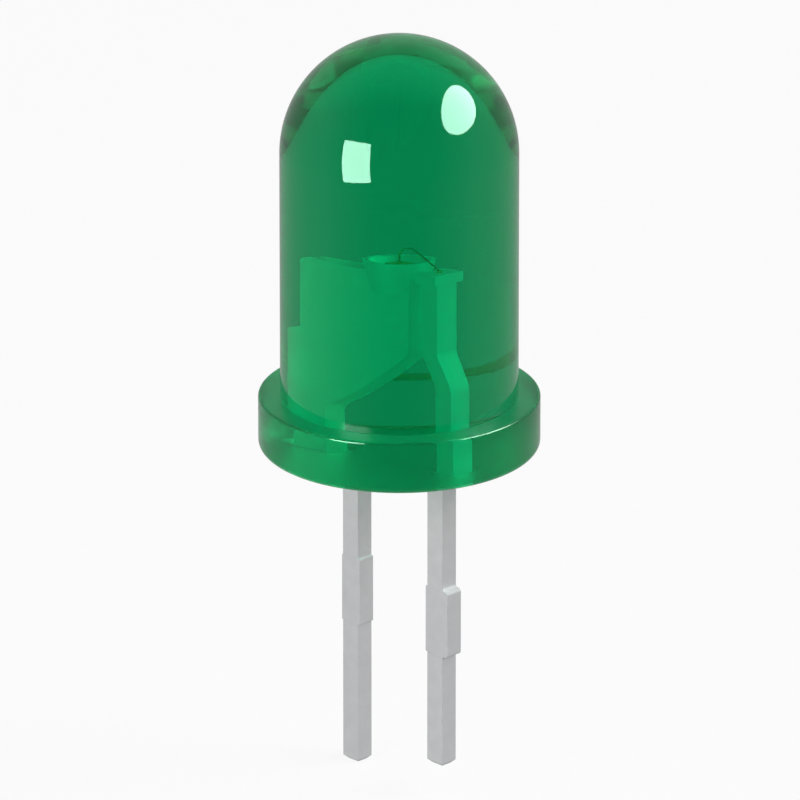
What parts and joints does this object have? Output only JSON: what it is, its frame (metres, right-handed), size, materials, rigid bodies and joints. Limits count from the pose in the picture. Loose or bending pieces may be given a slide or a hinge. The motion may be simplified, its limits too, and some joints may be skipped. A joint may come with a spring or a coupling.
{
  "type": "light-emitting diode",
  "caption": "Round through-hole light-emitting diode: tinted domed lens with a flange, cropped flat leads, and a reflector cup with die and bond wire inside.",
  "frame": {"origin": "middle of the flange's underside, halfway between the two leads", "axes": "+Z along the lens axis towards the dome, X along the pair of leads with the anode at +X, Y across the lead frame's sheet"},
  "size_m": [0.006, 0.006, 0.0165],
  "materials": {
    "green_epoxy": "clear tinted gloss",
    "tinned_lead": "tin plated satin",
    "silver_adhesive": "matt",
    "semiconductor": "sawn crystal",
    "gold_wire": "bright drawn"
  },
  "bodies": {
    "root": {"epoxy_lens": "green_epoxy", "cathode_lead": "tinned_lead", "anode_lead": "tinned_lead", "die_attach": "silver_adhesive", "led_die": "semiconductor", "bond_wire": "gold_wire"}
  },
  "joints": []
}
